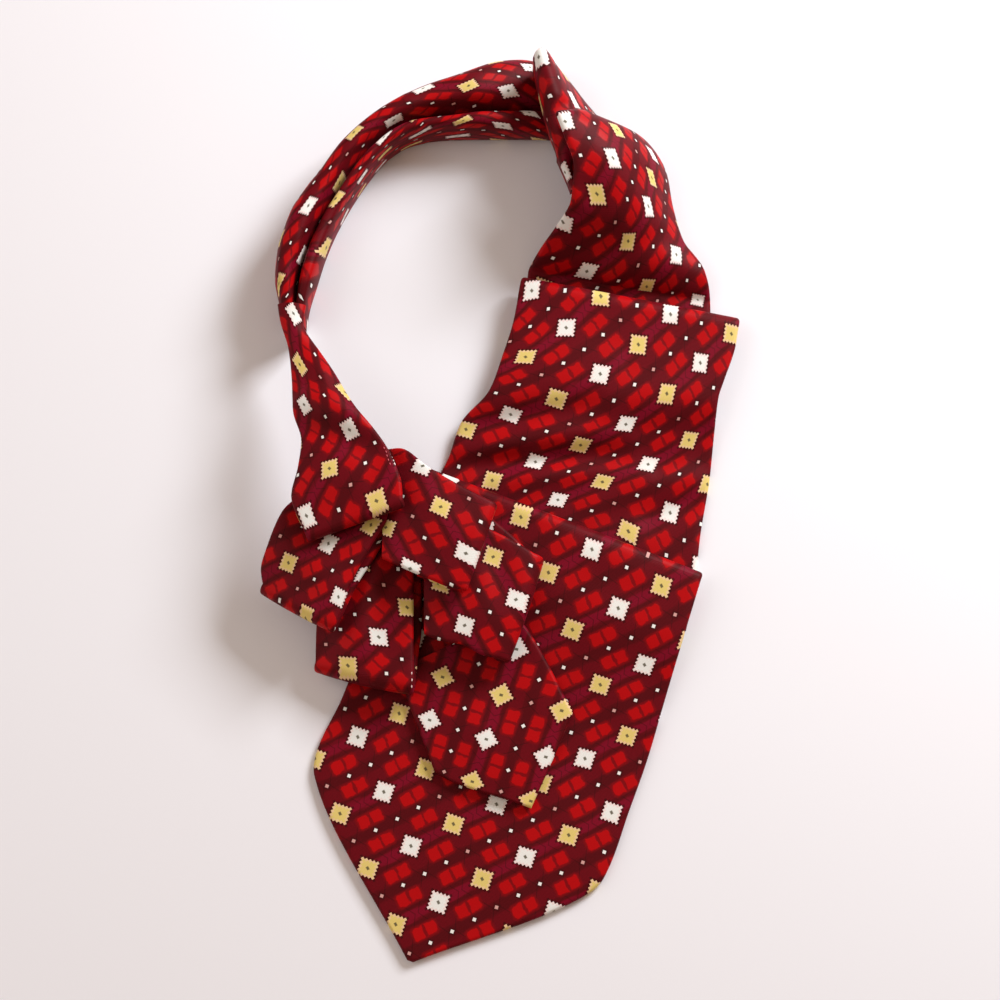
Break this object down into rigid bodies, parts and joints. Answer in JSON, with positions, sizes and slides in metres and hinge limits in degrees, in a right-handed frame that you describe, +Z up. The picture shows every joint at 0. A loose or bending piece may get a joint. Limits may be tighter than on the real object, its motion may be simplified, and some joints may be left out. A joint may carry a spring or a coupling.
{
  "type": "silk cravat",
  "caption": "Patterned silk necktie folded and stitched into a cravat collar with a pleated rosette, laid flat on a table.",
  "frame": {"origin": "middle of the whole layout, on the surface it lies on", "axes": "+Z up from the surface, +Y from the wide blade's tip towards the back of the neck, +X towards the side with the shoulder and away from the rosette"},
  "size_m": [0.1518, 0.2937, 0.0362],
  "materials": {
    "silk": "satin jacquard silk, dark wine red with a small repeat of bright red lozenges, white and gold stamps and white dots",
    "silk_inside": "the same silk in shade, on folded layers that are hidden"
  },
  "bodies": {
    "root": {"front_blade": "silk", "upper_layers": "silk_inside", "upper_pleat": "silk", "lower_layers": "silk_inside", "shoulder": "silk", "neck_turn": "silk", "neck_band": "silk", "left_neck": "silk", "pleat_left": "silk", "pleat_right": "silk", "pleat_under": "silk", "pleat_lower": "silk", "tail_blade": "silk", "rosette_core": "silk_inside"}
  },
  "joints": []
}
